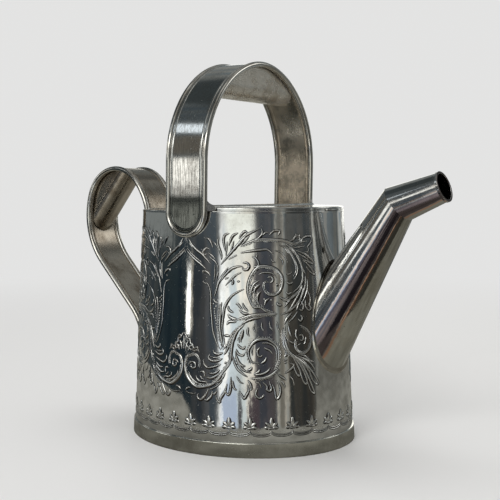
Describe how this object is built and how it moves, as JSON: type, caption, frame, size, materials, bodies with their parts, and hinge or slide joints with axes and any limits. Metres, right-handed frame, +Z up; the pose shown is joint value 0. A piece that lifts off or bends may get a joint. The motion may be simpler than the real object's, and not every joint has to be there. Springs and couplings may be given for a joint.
{
  "type": "oval hot water pot with hinged lid",
  "caption": "Oval metal hot water pot shaped like a small watering can: hinged half lid, overhead carrying handle, rear loop handle, tapered spout with an elbow and short tip.",
  "frame": {"origin": "middle of the oval foot, on the surface the pot stands on", "axes": "+X towards the spout, +Y to the left of the spout as the pot is carried, +Z up"},
  "size_m": [0.2148, 0.103, 0.1902],
  "materials": {
    "body_metal": "silver plate, polished, engraved and scratched by use",
    "foot_metal": "silver plate, slightly tarnished",
    "base_metal": "plated sheet, dull",
    "rim_metal": "silver plate, polished",
    "deck_metal": "silver plate, polished",
    "hinge_metal": "plated metal, tarnished brown",
    "strap_metal": "silver plate, tarnished on the inner faces",
    "wire_metal": "silver plate, polished round wire",
    "grip_metal": "silver plate, tarnished brown",
    "spout_metal": "silver plate, polished",
    "lid_metal": "silver plate, polished"
  },
  "bodies": {
    "pot": {"body_shell": "body_metal", "foot_band": "foot_metal", "base_plate": "base_metal", "rim_ring": "rim_metal", "rear_deck": "deck_metal", "hinge_leaf_fixed": "hinge_metal", "hinge_pin": "hinge_metal", "hinge_lug_near": "hinge_metal", "hinge_lug_far": "hinge_metal", "overhead_strap": "strap_metal", "overhead_wire_front": "wire_metal", "overhead_wire_rear": "wire_metal", "overhead_grip": "grip_metal", "rear_strap": "strap_metal", "rear_wire_near": "wire_metal", "rear_wire_far": "wire_metal", "rear_grip": "grip_metal", "spout_tube": "spout_metal", "spout_tip": "spout_metal", "spout_lip": "spout_metal", "spout_collar": "spout_metal"},
    "lid": {"lid_pan": "lid_metal", "lid_skirt": "lid_metal", "lid_lip": "lid_metal", "hinge_leaf_lid": "hinge_metal"}
  },
  "joints": [
    {"name": "lid_hinge", "type": "hinge", "parent": "pot", "child": "lid", "pos_m": [0.0152, 0, 0.11695], "axis": [0, -1, 0], "range_deg": [0, 100]}
  ]
}
